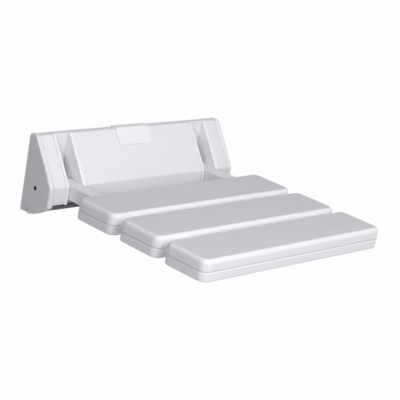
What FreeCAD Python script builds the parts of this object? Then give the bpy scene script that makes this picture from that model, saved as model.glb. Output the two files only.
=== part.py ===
import FreeCAD, Part
import os
import re
import Sketcher

# Fold down wall seat. X runs across the seat, +Y points into the wall, Z is up. The origin is on the wall,
# in the middle of the four wall screws. The seat is modelled folded down, resting on its pads.

# Driving sizes in mm. A height is counted up from the bracket's lower edge, a depth out from the wall.
driving_sizes = {
    # bracket and its covers
    "bracket_width": 396,
    "bracket_height": 120,
    "bracket_depth": 60.3,
    "top_depth": 12,
    "widest_height": 52.6,
    "cover_wall": 2.4,
    "cover_gap": 0.5,
    "hook_drop": 9,
    "lip_wall": 1.6,
    "edge_soft": 1.5,
    # wall plate
    "plate_depth": 8.5,
    "web_wall": 3.5,
    "rail_height": 6,
    "screw_band": 20,
    "screw_spacing_x": 180,
    "screw_spacing_z": 60,
    "screw_hole_radius": 4.25,
    "plate_lift": 1,
    "shelf_start": 20,
    "shelf_wall": 4.6,
    "chin_depth": 52.5,
    "chin_height": 15.9,
    "nose_front": 59.5,
    "nose_back": 50,
    "nose_height": 25,
    # end caps and inner caps
    "outer_cap_width": 9,
    "inner_cap_width": 6.3,
    "side_block": 38.6,
    "cap_proud": 1.2,
    "cap_wall": 2.4,
    "outer_cap_round": 3.5,
    "inner_cap_round": 2.8,
    "cap_toe_height": 20.9,
    "cap_heel_depth": 22.7,
    "cap_heel_height": 0.4,
    "cap_belly_depth": 43.5,
    "cap_belly_height": 8,
    "notch_near": 13.2,
    "notch_far": 16.4,
    "notch_height": 9.5,
    "key_hole_radius": 3.9,
    # tab over the top edge
    "tab_width": 69,
    "tab_shift": 4,
    "tab_wall": 2.2,
    "tab_back": 1,
    "tab_low_height": 97.5,
    "tab_corner": 5,
    # recesses and hinges
    "recess_width": 26.8,
    "arm_play": 0.9,
    "pivot_depth": 26.5,
    "pivot_height": 42.7,
    "pin_radius": 5,
    "pin_play": 0.1,
    "ear_wall": 4,
    "ear_gap": 1.3,
    "ear_round": 14,
    "ear_foot_width": 16,
    "ear_foot_wall": 4,
    "ear_foot_below": 22,
    "ear_foot_above": 26,
    "spring_wall": 1.6,
    "spring_dish": 0.8,
    "spring_radius": 9,
    "bolt_head_radius": 8,
    "bolt_head_length": 6,
    "bolt_socket_radius": 3.45,
    "bolt_socket_depth": 3.5,
    "nut_radius": 8.5,
    "nut_length": 7,
    "rest_gap": 0.3,
    "pad_length": 7.5,
    "pad_side_play": 1.4,
    "buffer_width": 18,
    "buffer_height": 12,
    "buffer_rise": 26,
    # arms
    "arm_height": 22.5,
    "arm_wall": 2.5,
    "arm_round": 1.6,
    "arm_end_gap": 9,
    "block_length": 21.5,
    "spigot_length": 40,
    "spigot_play": 0.1,
    "bush_radius": 7,
    "bush_play": 0.3,
    "thrust_play": 0.1,
    "plug_wall": 2,
    "plug_length": 12,
    # slats
    "slat_width": 390,
    "slat_depth": 81,
    "slat_pitch": 92,
    "slat_start": 116,
    "slat_rise": 17.3,
    "slat_thickness": 32.3,
    "seam_drop": 17.5,
    "slat_wall": 2.8,
    "slat_corner": 13,
    "slat_top_round": 6,
    "slat_low_soft": 2.4,
    "seam_groove": 0.8,
    "window_play": 0.3,
    "rib_wall": 2.4,
    "rib_pitch": 52,
    "saddle_length": 56,
}

# Places and lengths that follow from the driving sizes, as expressions.
follows = {
    "low": "(-bracket_height / 2)",
    "high": "(bracket_height / 2)",
    "half_width": "(bracket_width / 2)",
    "pivot_y": "(-pivot_depth)",
    "pivot_z": "(low + pivot_height)",
    # the slope of the covers, and how far its two corners shift when it is offset by 1 mm
    "slope_run": "(bracket_depth - top_depth)",
    "slope_fall": "(bracket_height - widest_height)",
    "slope_length": "sqrt(slope_run ^ 2 + slope_fall ^ 2)",
    "top_shift": "((slope_length - slope_run) / slope_fall)",
    "front_shift": "((slope_length - slope_fall) / slope_run)",
    # the underside of the wall plate's shelf
    "shelf_climb": "((chin_height - plate_lift) / (chin_depth - shelf_start))",
    "shelf_root": "(low + plate_lift + shelf_wall)",
    "shelf_top_at_nose": "(shelf_root + (nose_back - shelf_start) * shelf_climb)",
    # stations across the bracket, counted out from its middle
    "plate_end": "(half_width - outer_cap_width)",
    "recess_outer": "(half_width - side_block)",
    "recess_inner": "(recess_outer - recess_width)",
    "recess_middle": "(recess_outer - recess_width / 2)",
    "cap_outer": "(recess_outer + inner_cap_width)",
    "cap_inner": "(recess_inner - inner_cap_width)",
    "ear_outer": "(cap_outer + ear_gap)",
    "ear_inner": "(cap_inner - ear_gap)",
    "spring_inner": "(ear_outer + ear_wall)",
    "head_outer": "(spring_inner + spring_wall + spring_dish)",
    "nut_inner": "(ear_inner - ear_wall)",
    "arm_width": "(recess_width - 2 * arm_play)",
    "bore_radius": "(pin_radius + pin_play)",
    # the slats, whose top is level with the pivot's height plus slat_rise
    "slat_top": "(pivot_z + slat_rise)",
    "slat_seam": "(slat_top - seam_drop)",
    "slat_bottom": "(slat_top - slat_thickness)",
    "arm_top": "(pivot_z + arm_height / 2)",
    "arm_low": "(pivot_z - arm_height / 2)",
    "tube_rear": "(-pivot_depth - block_length)",
    "arm_front_depth": "(slat_start + 2 * slat_pitch + slat_depth - arm_end_gap)",
}

doc = FreeCAD.newDocument("wall_seat")
sheet = doc.addObject("Spreadsheet::Sheet", "sizes")
for row, (alias, size) in enumerate(driving_sizes.items(), 1):
    sheet.set("A%d" % row, alias.replace("_", " "))
    sheet.set("B%d" % row, str(size))
    sheet.setAlias("B%d" % row, alias)
doc.recompute()


def spell(text):
    """Writes an expression out in full: what follows first, then the sheet's own cells."""
    while any(word in follows for word in re.findall(r"[a-z_]+", text)):
        text = re.sub(r"[a-z_]+", lambda found: follows.get(found.group(), found.group()), text)
    return re.sub(
        r"[a-z_]+",
        lambda found: "sizes." + found.group() if found.group() in driving_sizes else found.group(),
        text,
    )


def number(text):
    return float(sheet.evalExpression(spell(text)))


def bind(thing, name, text):
    thing.setExpression(name, spell(text))


# Bodies, sketches and features

def body(label, across="0", depth="0", height="0"):
    piece = doc.addObject("PartDesign::Body", label)
    piece.Label = label
    piece.AllowCompound = True
    bind(piece, "Placement.Base.x", across)
    bind(piece, "Placement.Base.y", depth)
    bind(piece, "Placement.Base.z", height)
    return piece


def sketch_on(piece, plane, lift):
    sketch = piece.newObject("Sketcher::SketchObject", piece.Name + "_sketch")
    flat = next(item for item in piece.Origin.OriginFeatures if item.Role == plane + "_Plane")
    sketch.AttachmentSupport = (flat, "")
    sketch.MapMode = "FlatFace"
    bind(sketch, "AttachmentOffset.Base.z", lift)
    return sketch


def hold(sketch, kind, where, text):
    index = sketch.addConstraint(Sketcher.Constraint(kind, *where, number(text)))
    bind(sketch, "Constraints[%d]" % index, text)


def outline(piece, plane, corners, lift="0", arcs=None):
    sketch = sketch_on(piece, plane, lift)
    add_outline(sketch, corners, arcs)
    return sketch


def add_outline(sketch, corners, arcs=None):
    """A closed outline of straight runs. arcs = {index: radius} bends the run after a corner outwards."""
    arcs = arcs or {}
    spots = [FreeCAD.Vector(number(u), number(v), 0) for u, v in corners]
    count = len(spots)
    area = sum(spots[i].x * spots[(i + 1) % count].y - spots[i].y * spots[(i + 1) % count].x for i in range(count))
    ends = []
    for i, start in enumerate(spots):
        end = spots[(i + 1) % count]
        if i in arcs:
            radius = number(arcs[i])
            chord = end - start
            outward = FreeCAD.Vector(chord.y, -chord.x, 0).normalize() * (1 if area > 0 else -1)
            rise = radius - (radius ** 2 - (chord.Length / 2) ** 2) ** 0.5
            edge = sketch.addGeometry(Part.Arc(start, (start + end) / 2 + outward * rise, end))
            hold(sketch, "Radius", (edge,), arcs[i])
        else:
            edge = sketch.addGeometry(Part.LineSegment(start, end))
        at_start = (sketch.getPoint(edge, 1) - start).Length < (sketch.getPoint(edge, 2) - start).Length
        ends.append((edge, 1, 2) if at_start else (edge, 2, 1))
    for i in range(count):
        before, after = ends[i - 1], ends[i]
        sketch.addConstraint(Sketcher.Constraint("Coincident", before[0], before[2], after[0], after[1]))
        hold(sketch, "DistanceX", (after[0], after[1]), corners[i][0])
        hold(sketch, "DistanceY", (after[0], after[1]), corners[i][1])


def add_rectangle(sketch, left, right, low, high):
    add_outline(sketch, [(left, low), (right, low), (right, high), (left, high)])


def circles(piece, plane, spots, radii, lift="0"):
    """Rings or discs: every radius in radii is drawn round every spot."""
    sketch = sketch_on(piece, plane, lift)
    for u, v in spots:
        for radius in radii:
            centre = FreeCAD.Vector(number(u), number(v), 0)
            ring = sketch.addGeometry(Part.Circle(centre, FreeCAD.Vector(0, 0, 1), number(radius)))
            hold(sketch, "DistanceX", (ring, 3), u)
            hold(sketch, "DistanceY", (ring, 3), v)
            hold(sketch, "Radius", (ring,), radius)
    return sketch


def hexagon(piece, plane, radius, lift="0"):
    turns = [("%s * cos(%d deg)" % (radius, a), "%s * sin(%d deg)" % (radius, a)) for a in range(0, 360, 60)]
    return outline(piece, plane, turns, lift)


def grow(piece, sketch, length, both=False, back=False):
    pad = piece.newObject("PartDesign::Pad", piece.Name + "_pad")
    pad.Profile = sketch
    pad.Midplane = both
    pad.Reversed = back
    bind(pad, "Length", length)
    return finish_feature(pad)


def cut(piece, sketch, length, both=False, back=False):
    """Cuts against the sketch's normal, or along it where back is true."""
    before = piece.Tip.Shape.Volume
    pocket = piece.newObject("PartDesign::Pocket", piece.Name + "_cut")
    pocket.Profile = sketch
    pocket.Midplane = both
    pocket.Reversed = back
    bind(pocket, "Length", length)
    finish_feature(pocket)
    if piece.Tip.Shape.Volume > before - 0.01:
        raise RuntimeError("a cut in %s takes nothing away" % piece.Label)
    return pocket


def spin(piece, sketch):
    """A full turn about the sketch's own horizontal axis."""
    turn = piece.newObject("PartDesign::Revolution", piece.Name + "_turn")
    turn.Profile = sketch
    turn.ReferenceAxis = (sketch, ["H_Axis"])
    turn.Angle = 360
    finish_feature(turn)
    return piece


def finish_feature(feature):
    doc.recompute()
    if "Invalid" in feature.State or "Error" in feature.State or feature.Shape.isNull():
        raise RuntimeError("%s failed" % feature.Name)
    return feature


def reach(edge, axis):
    box = edge.BoundBox
    return {"x": (box.XMin, box.XMax), "y": (box.YMin, box.YMax), "z": (box.ZMin, box.ZMax)}[axis]


def edges_along(piece, axis, spots):
    """Straight edges along an axis, each through one of the spots, given in the other two axes' order."""
    others = [name for name in "xyz" if name != axis]
    wanted = [tuple(number(text) for text in spot) for spot in spots]
    names = []
    for index, edge in enumerate(piece.Tip.Shape.Edges, 1):
        flat = [reach(edge, name) for name in others]
        if any(high - low > 0.02 for low, high in flat):
            continue
        if any(all(abs(low - at) < 0.03 for (low, high), at in zip(flat, spot)) for spot in wanted):
            names.append("Edge%d" % index)
    return names


def edges_at(piece, axis, text):
    """Every edge that lies in one plane square to an axis."""
    at = number(text)
    return ["Edge%d" % index for index, edge in enumerate(piece.Tip.Shape.Edges, 1)
            if max(abs(end - at) for end in reach(edge, axis)) < 0.02]


def soften(piece, names, radius, chamfer=False):
    if not names:
        raise RuntimeError("no edge to soften on %s" % piece.Label)
    kind = "Chamfer" if chamfer else "Fillet"
    feature = piece.newObject("PartDesign::" + kind, piece.Name + "_" + kind.lower())
    feature.Base = (piece.Tip if piece.Tip != feature else feature.BaseFeature, names)
    bind(feature, "Size" if chamfer else "Radius", radius)
    return finish_feature(feature)


def mirrored_copy(source):
    """The same piece on the right-hand side."""
    other = doc.addObject("Part::Mirroring", source.Name.replace("left", "right"))
    other.Source = source
    other.Normal = FreeCAD.Vector(1, 0, 0)
    return other


def twin(source):
    other = mirrored_copy(source)
    other.Label = source.Label.replace("left", "right")
    parts.append(other)


def pair(label, pieces):
    """One node of the left-hand pieces and their mirror images."""
    both = doc.addObject("Part::Compound", label)
    both.Label = label
    both.Links = pieces + [mirrored_copy(piece) for piece in pieces]
    parts.append(both)


parts = []


def keep(piece):
    parts.append(piece)
    return piece


# Bracket

def cover_outline(grow_by, rear, toe):
    """Corners of the sloping front, offset outwards by grow_by: rear top, top edge, widest line, toe."""
    return [
        (rear, "high + %s" % grow_by),
        ("-top_depth - %s * top_shift" % grow_by, "high + %s" % grow_by),
        ("-bracket_depth - %s" % grow_by, "low + widest_height + %s * front_shift" % grow_by),
        ("-bracket_depth - %s" % grow_by, toe),
    ]


def wall_plate():
    piece = keep(body("wall_plate"))
    back = "(web_wall - plate_depth)"
    bands = []
    for side in ("-", ""):
        middle = side + "screw_spacing_z / 2"
        bands += [(back, middle + " - screw_band / 2"), ("0", middle + " - screw_band / 2"),
                  ("0", middle + " + screw_band / 2"), (back, middle + " + screw_band / 2")]
    profile = outline(piece, "YZ", [
        ("0", "low + plate_lift"),
        ("0", "low + plate_lift + rail_height"),
        (back, "low + plate_lift + rail_height"),
        *bands,
        (back, "high - rail_height"),
        ("0", "high - rail_height"),
        ("0", "high"),
        ("-plate_depth", "high"),
        ("-plate_depth", "shelf_root"),
        ("-shelf_start", "shelf_root"),
        ("-nose_back", "shelf_top_at_nose"),
        ("-nose_back", "low + nose_height"),
        ("-nose_front", "low + nose_height"),
        ("-chin_depth", "low + chin_height"),
        ("-shelf_start", "low + plate_lift"),
    ])
    grow(piece, profile, "2 * plate_end", both=True)
    soften(piece, edges_along(piece, "x", [("-chin_depth", "low + chin_height")]), "4 * edge_soft")
    soften(piece, edges_along(piece, "x", [("-nose_front", "low + nose_height")]), "edge_soft / 2")
    holes = [(a + "screw_spacing_x / 2", b + "screw_spacing_z / 2") for a in ("-", "") for b in ("-", "")]
    cut(piece, circles(piece, "XZ", holes, ["screw_hole_radius"]), "2 * plate_depth", both=True)


def cover(label, near, far):
    """A bent shell between two stations. Its hook lies on the web and its lip on the shelf's nose."""
    piece = body(label, across="(%s + %s) / 2" % (near, far))
    skin = cover_outline("0", "-plate_depth", "low + nose_height")
    wall = "cover_wall"
    inner = [
        ("-nose_back", "low + nose_height"),
        ("-nose_back", "low + nose_height + cover_wall"),
        ("-bracket_depth + cover_wall", "low + nose_height + cover_wall"),
        ("-bracket_depth + cover_wall", "low + widest_height - %s * front_shift" % wall),
        ("-top_depth + %s * top_shift" % wall, "high - cover_wall"),
        ("-plate_depth - lip_wall", "high - cover_wall"),
        ("-plate_depth - lip_wall", "high - hook_drop"),
        ("-plate_depth", "high - hook_drop"),
    ]
    grow(piece, outline(piece, "YZ", skin + inner), "%s - %s" % (far, near), both=True)
    soften(piece, edges_along(piece, "x", [("-top_depth", "high"), skin[2]]), "edge_soft")
    return keep(piece)


def end_cap(label):
    """The left end cap: a dish that closes the bracket's end, notched open at its foot."""
    piece = body(label, across="-half_width")
    proud = "cap_proud"
    rim = cover_outline(proud, "0", "low + cap_toe_height")
    rest = [
        ("-cap_belly_depth", "low + cap_belly_height"),
        ("-cap_heel_depth", "low + cap_heel_height"),
        ("-notch_far", "low + cap_heel_height"),
        ("-notch_far", "low + notch_height"),
        ("-notch_near", "low + notch_height"),
        ("-notch_near", "low + plate_lift"),
        ("0", "low + plate_lift"),
    ]
    grow(piece, outline(piece, "YZ", rim + rest), "outer_cap_width")
    soften(piece, edges_along(piece, "x", [rim[1], rim[2]]), "edge_soft", chamfer=True)
    soften(piece, [name for name in edges_at(piece, "x", "0") if front_edge(piece, name)], "outer_cap_round")
    thin = "(cap_proud - cap_wall)"
    hollow = [
        ("-plate_depth", "high + %s" % thin),
        *cover_outline(thin, "0", "low + nose_height")[1:],
        ("-nose_back", "shelf_top_at_nose"),
        ("-shelf_start", "shelf_root"),
        ("-plate_depth", "shelf_root"),
    ]
    dish = outline(piece, "YZ", hollow, lift="outer_cap_width")
    cut(piece, dish, "outer_cap_width - cap_wall")
    cut(piece, circles(piece, "YZ", [("pivot_y", "pivot_z")], ["key_hole_radius"]), "3 * cap_wall", both=True)
    return piece


def front_edge(piece, name):
    """True for an edge of the side face that shows from the front: not at the wall, nor in the notch."""
    box = piece.Tip.Shape.getElement(name).BoundBox
    return box.YMax < -number("cap_heel_depth") + 0.1 or box.ZMin > number("high")


def inner_cap(label, station, outwards):
    """A dish beside a recess, its flat face on the recess. outwards is true where the block is further out."""
    piece = body(label, across="-" + station)
    rim = cover_outline("cap_proud", "-plate_depth", "low + nose_height")
    seat = [
        ("-nose_back", "low + nose_height"),
        ("-nose_back", "shelf_top_at_nose"),
        ("-shelf_start", "shelf_root"),
        ("-plate_depth", "shelf_root"),
    ]
    grow(piece, outline(piece, "YZ", rim + seat), "inner_cap_width", back=outwards)
    soften(piece, edges_along(piece, "x", [rim[1], rim[2]]), "edge_soft", chamfer=True)
    shown = [name for name in edges_at(piece, "x", "0") if rim_edge(piece, name)]
    soften(piece, shown, "inner_cap_round")
    thin = "(cap_proud - cap_wall)"
    hollow = [
        ("-plate_depth - lip_wall", "high + %s" % thin),
        *cover_outline(thin, "0", "low + nose_height + cap_wall")[1:],
        ("-nose_back + cap_wall", "low + nose_height + cap_wall"),
        ("-nose_back + cap_wall", "shelf_top_at_nose + cap_wall"),
        ("-shelf_start", "shelf_root + cap_wall"),
        ("-plate_depth - lip_wall", "shelf_root + cap_wall"),
    ]
    lift = "-inner_cap_width" if outwards else "inner_cap_width"
    cut(piece, outline(piece, "YZ", hollow, lift=lift), "inner_cap_width - cap_wall", back=outwards)
    bore = circles(piece, "YZ", [("pivot_y", "pivot_z")], ["bush_radius + bush_play"])
    cut(piece, bore, "3 * cap_wall", both=True)
    return piece


def rim_edge(piece, name):
    """True for an edge of an inner cap that isn't on its seat: not on the nose, the shelf or the web."""
    box = piece.Tip.Shape.getElement(name).BoundBox
    return box.ZMax > number("low + nose_height") + 0.1 and box.YMin < -number("plate_depth") - 0.1


def top_tab():
    """The raised blank tab, bent over the top edge of the centre cover."""
    piece = keep(body("top_tab", across="-tab_shift"))
    reach_down = "(high - low - tab_low_height)"
    foot = "(-top_depth - %s * slope_run / slope_fall)" % reach_down
    wall_y = "tab_wall * slope_fall / slope_length"
    wall_z = "tab_wall * slope_run / slope_length"
    skin = [
        ("-tab_back", "high"),
        ("-tab_back", "high + tab_wall"),
        ("-top_depth - tab_wall * top_shift", "high + tab_wall"),
        (foot + " - " + wall_y, "low + tab_low_height + " + wall_z),
        (foot, "low + tab_low_height"),
        ("-top_depth", "high"),
    ]
    grow(piece, outline(piece, "YZ", skin), "tab_width", both=True)
    lower = [name for name in all_edges(piece) if is_slanted_at(piece, name, foot)]
    soften(piece, lower, "tab_corner")
    soften(piece, edges_along(piece, "x", [skin[2]]), "edge_soft")


def all_edges(piece):
    return ["Edge%d" % index for index in range(1, len(piece.Tip.Shape.Edges) + 1)]


def is_slanted_at(piece, name, foot):
    """True for the two short edges through the tab's thickness at its lower corners."""
    edge = piece.Tip.Shape.getElement(name)
    box = edge.BoundBox
    across = box.XLength < 0.01 and abs(edge.Length - number("tab_wall")) < 0.01
    return across and abs(box.YMax - number(foot)) < 0.02


# Hinges

def ear(label, near, far, foot_near, foot_far):
    """A steel ear on a foot. The two ears of a hinge clamp the bush's ends. Stations are counted outwards."""
    piece = body(label)
    foot = [
        ("-plate_depth - ear_foot_wall", "pivot_z - ear_foot_below"),
        ("-plate_depth", "pivot_z - ear_foot_below"),
        ("-plate_depth", "pivot_z + ear_foot_above"),
        ("-plate_depth - ear_foot_wall", "pivot_z + ear_foot_above"),
    ]
    web = foot + [("pivot_y", "pivot_z + ear_round"), ("pivot_y", "pivot_z - ear_round")]
    pivot = [("pivot_y", "pivot_z")]
    grow(piece, outline(piece, "YZ", web, lift="-" + far), "%s - %s" % (far, near))
    grow(piece, circles(piece, "YZ", pivot, ["ear_round"], lift="-" + far), "%s - %s" % (far, near))
    grow(piece, outline(piece, "YZ", foot, lift="-" + foot_far), "%s - %s" % (foot_far, foot_near))
    bore = circles(piece, "YZ", pivot, ["bore_radius"], lift="-(%s + %s) / 2" % (near, far))
    cut(piece, bore, "2 * ear_wall", both=True)
    return piece


def turned(label, spans):
    """A turned piece on the pivot axis. Each span is (from, to, outer radius, inner radius or None)."""
    piece = body(label, depth="pivot_y", height="pivot_z")
    for near, far, outer, inner in spans:
        radii = [outer] if inner is None else [outer, inner]
        ring = circles(piece, "YZ", [("0", "0")], radii, lift="-(%s)" % far)
        grow(piece, ring, "%s - (%s)" % (far, near))
    return piece


def pivot_bolt(label):
    piece = turned(label, [
        ("(nut_inner - nut_length - 1)", "head_outer", "pin_radius", None),
        ("head_outer", "head_outer + bolt_head_length", "bolt_head_radius", None),
    ])
    top = "-(head_outer + bolt_head_length)"
    socket = hexagon(piece, "YZ", "bolt_socket_radius", lift=top)
    cut(piece, socket, "bolt_socket_depth", back=True)
    return piece


def pivot_nut(label):
    piece = body(label, depth="pivot_y", height="pivot_z")
    grow(piece, hexagon(piece, "YZ", "nut_radius", lift="-nut_inner"), "nut_length")
    bore = circles(piece, "YZ", [("0", "0")], ["pin_radius"], lift="-nut_inner")
    cut(piece, bore, "3 * nut_length", both=True)
    return piece


def disc_spring(label):
    """A dished spring between the outer ear and the bolt's head: its rim bears on the ear."""
    piece = body(label, depth="pivot_y", height="pivot_z")
    section = outline(piece, "XY", [
        ("-spring_inner", "spring_radius"),
        ("-spring_inner - spring_wall", "spring_radius"),
        ("-head_outer", "bore_radius"),
        ("-head_outer + spring_wall", "bore_radius"),
    ])
    return spin(piece, section)


def rest_pad(label):
    """Rubber pad on the shelf's nose: the arm lies on it when the seat is down."""
    piece = keep(body(label, across="-recess_middle"))
    top = "arm_low - rest_gap"
    corners = [("-nose_back", "low + nose_height"), ("-nose_back", top),
               ("-nose_back - pad_length", top), ("-nose_back - pad_length", "low + nose_height")]
    grow(piece, outline(piece, "YZ", corners), "recess_width - 2 * pad_side_play", both=True)
    soften(piece, edges_along(piece, "x", [corners[1], corners[2]]), "edge_soft", chamfer=True)
    return piece


def up_buffer(label):
    """Rubber block on the web: the arm's top meets it when the seat is folded up."""
    piece = keep(body(label, across="-recess_middle", height="pivot_z + buffer_rise"))
    front = "-(pivot_depth - arm_height / 2 - rest_gap)"
    corners = [("-plate_depth", "-buffer_height / 2"), ("-plate_depth", "buffer_height / 2"),
               (front, "buffer_height / 2"), (front, "-buffer_height / 2")]
    grow(piece, outline(piece, "YZ", corners), "buffer_width", both=True)
    soften(piece, edges_along(piece, "x", corners[2:]), "edge_soft", chamfer=True)
    return piece


# Arms

def hinge_block(label):
    """The arm's rear end, rounded about the pivot, with a spigot that fills the tube."""
    piece = body(label, across="-recess_middle", depth="pivot_y", height="pivot_z")
    half = "arm_height / 2"
    bar = [("-block_length", "-" + half), ("0", "-" + half), ("0", half), ("-block_length", half)]
    grow(piece, outline(piece, "YZ", bar), "arm_width", both=True)
    grow(piece, circles(piece, "YZ", [("0", "0")], [half]), "arm_width", both=True)
    inside = "arm_height / 2 - arm_wall - spigot_play"
    spigot = [("-block_length", "-(%s)" % inside), ("-block_length", inside),
              ("-block_length - spigot_length", inside), ("-block_length - spigot_length", "-(%s)" % inside)]
    grow(piece, outline(piece, "YZ", spigot), "arm_width - 2 * arm_wall - 2 * spigot_play", both=True)
    cut(piece, circles(piece, "YZ", [("0", "0")], ["bush_radius"]), "2 * arm_width", both=True)
    return piece


def arm(label):
    """A rectangular tube from the hinge block into the front slat."""
    piece = keep(body(label, across="-recess_middle", depth="tube_rear", height="pivot_z"))
    section = sketch_on(piece, "XZ", "0")
    for wall in ("0", "arm_wall"):
        add_rectangle(section, "-arm_width / 2 + " + wall, "arm_width / 2 - " + wall,
                      "-arm_height / 2 + " + wall, "arm_height / 2 - " + wall)
    grow(piece, section, "arm_front_depth - pivot_depth - block_length")
    corners = [(a + "arm_width / 2", b + "arm_height / 2") for a in ("-", "") for b in ("-", "")]
    soften(piece, edges_along(piece, "y", corners), "arm_round")
    return piece


def arm_plug(label):
    """A plastic plug that closes the tube's front end: a plate over the end and a spigot inside."""
    piece = keep(body(label, across="-recess_middle", depth="-arm_front_depth", height="pivot_z"))
    for inset, length, back in (("arm_round / 2", "plug_wall", False),
                                ("arm_wall + spigot_play", "plug_length", True)):
        section = sketch_on(piece, "XZ", "0")
        add_rectangle(section, "-arm_width / 2 + " + inset, "arm_width / 2 - (%s)" % inset,
                      "-arm_height / 2 + " + inset, "arm_height / 2 - (%s)" % inset)
        grow(piece, section, length, back=back)
    return piece


def bush(label):
    """A nylon bush through the hinge block, from ear to ear."""
    return turned(label, [("(ear_inner + thrust_play)", "(ear_outer - thrust_play)",
                           "bush_radius", "bore_radius")])


# Slats

def slat_middle(place):
    return "-slat_start - slat_depth / 2 - %d * slat_pitch" % place


def slat_plan(piece, inset, lift="0", rounded=True):
    """A slat's outline seen from above, drawn in all round by inset. Its corners are round or cut off."""
    side, end = "(slat_width / 2 - %s)" % inset, "(slat_depth / 2 - %s)" % inset
    radius = "(slat_corner - %s)" % inset
    near_side, near_end = "(%s - %s)" % (side, radius), "(%s - %s)" % (end, radius)
    corners = [("-" + near_side, "-" + end), (near_side, "-" + end), (side, "-" + near_end), (side, near_end),
               (near_side, end), ("-" + near_side, end), ("-" + side, near_end), ("-" + side, "-" + near_end)]
    arcs = {1: radius, 3: radius, 5: radius, 7: radius} if rounded else None
    return outline(piece, "XY", corners, lift, arcs)


def arm_windows(piece, place, tall, lift, up):
    """Openings for the arms in the rear wall, and in the front wall too where another slat follows."""
    rear = "slat_depth / 2 + slat_wall"
    front = "-slat_depth / 2 - slat_wall" if place < 2 else "slat_depth / 2 - 2 * slat_wall"
    sketch = sketch_on(piece, "XY", lift)
    for side in ("-", ""):
        add_rectangle(sketch, side + "recess_middle - arm_width / 2 - window_play",
                      side + "recess_middle + arm_width / 2 + window_play", front, rear)
    cut(piece, sketch, tall, back=up)


def slat_top(place):
    """The upper shell, open below, with ribs that lie on the arms."""
    piece = keep(body("slat_%d_top" % (place + 1), depth=slat_middle(place), height="slat_seam"))
    grow(piece, slat_plan(piece, "0"), "seam_drop")
    soften(piece, edges_at(piece, "z", "seam_drop"), "slat_top_round")
    room = "(seam_drop - slat_wall)"
    cut(piece, slat_plan(piece, "slat_wall", rounded=False), room, back=True)
    arm_windows(piece, place, "arm_top + window_play - slat_seam", "0", up=True)
    ribs = sketch_on(piece, "XY", "arm_top - slat_seam")
    for row in ("-slat_depth / 4", "slat_depth / 4"):
        add_rectangle(ribs, "-slat_width / 2 + slat_wall", "slat_width / 2 - slat_wall",
                      row + " - rib_wall / 2", row + " + rib_wall / 2")
    grow(piece, ribs, room + " - (arm_top - slat_seam)")


def slat_base(place):
    """The lower shell: a tray with low saddles under the arms and ribs across its floor."""
    piece = keep(body("slat_%d_base" % (place + 1), depth=slat_middle(place), height="slat_bottom"))
    tall = "(slat_thickness - seam_drop)"
    grow(piece, slat_plan(piece, "0"), tall)
    soften(piece, edges_at(piece, "z", "0"), "slat_low_soft", chamfer=True)
    soften(piece, edges_at(piece, "z", tall), "seam_groove", chamfer=True)
    cut(piece, slat_plan(piece, "slat_wall", lift=tall, rounded=False), tall + " - slat_wall")
    arm_windows(piece, place, tall + " - (arm_low - window_play - slat_bottom)", tall, up=False)
    saddles = sketch_on(piece, "XY", "slat_wall")
    for side in ("-", ""):
        add_rectangle(saddles, side + "recess_middle - arm_width / 2", side + "recess_middle + arm_width / 2",
                      "-saddle_length / 2", "saddle_length / 2")
    grow(piece, saddles, "arm_low - slat_bottom - slat_wall")
    ribs = sketch_on(piece, "XY", "slat_wall")
    for column in ("-rib_pitch", "0", "rib_pitch"):
        add_rectangle(ribs, column + " - rib_wall / 2", column + " + rib_wall / 2",
                      "-slat_depth / 2 + slat_wall", "slat_depth / 2 - slat_wall")
    grow(piece, ribs, tall + " - 2 * slat_wall")


# Build

wall_plate()
cover("centre_cover", "(-cap_inner + cover_gap)", "(cap_inner - cover_gap)")
top_tab()
mirrored = [
    cover("left_cover", "(-plate_end + cover_gap)", "(-cap_outer - cover_gap)"),
    rest_pad("left_rest_pad"),
    up_buffer("left_up_buffer"),
    arm("left_arm"),
    arm_plug("left_arm_plug"),
]
for piece in mirrored:
    twin(piece)
pair("end_caps", [end_cap("left_end_cap")])
pair("recess_caps", [
    inner_cap("left_outer_cap", "recess_outer", outwards=True),
    inner_cap("left_inner_cap", "recess_inner", outwards=False),
])
pair("ears", [
    ear("left_outer_ear", "ear_outer", "spring_inner", "spring_inner", "(spring_inner + ear_foot_width)"),
    ear("left_inner_ear", "nut_inner", "ear_inner", "(nut_inner - ear_foot_width)", "nut_inner"),
])
pair("pivot_bolts", [pivot_bolt("left_pivot_bolt")])
pair("pivot_nuts", [pivot_nut("left_pivot_nut")])
pair("disc_springs", [disc_spring("left_disc_spring")])
pair("hinge_blocks", [hinge_block("left_hinge_block")])
pair("bushes", [bush("left_bush")])
for place in range(3):
    slat_top(place)
    slat_base(place)
doc.recompute()

# Check and write

failed = [item.Name for item in doc.Objects if "Invalid" in item.State or "Error" in item.State]
if failed:
    raise RuntimeError("failed objects: " + ", ".join(failed))
for piece in parts:
    if piece.Shape.isNull() or not piece.Shape.isValid() or not piece.Shape.Solids:
        raise RuntimeError("bad shape: " + piece.Label)

os.makedirs("parts", exist_ok=True)
for piece in parts:
    piece.Shape.exportStep("parts/%s.step" % piece.Label)
print("%d nodes, %d solids" % (len(parts), sum(len(piece.Shape.Solids) for piece in parts)))
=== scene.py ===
import math

import bmesh
import bpy
from mathutils import Matrix, Vector


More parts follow.
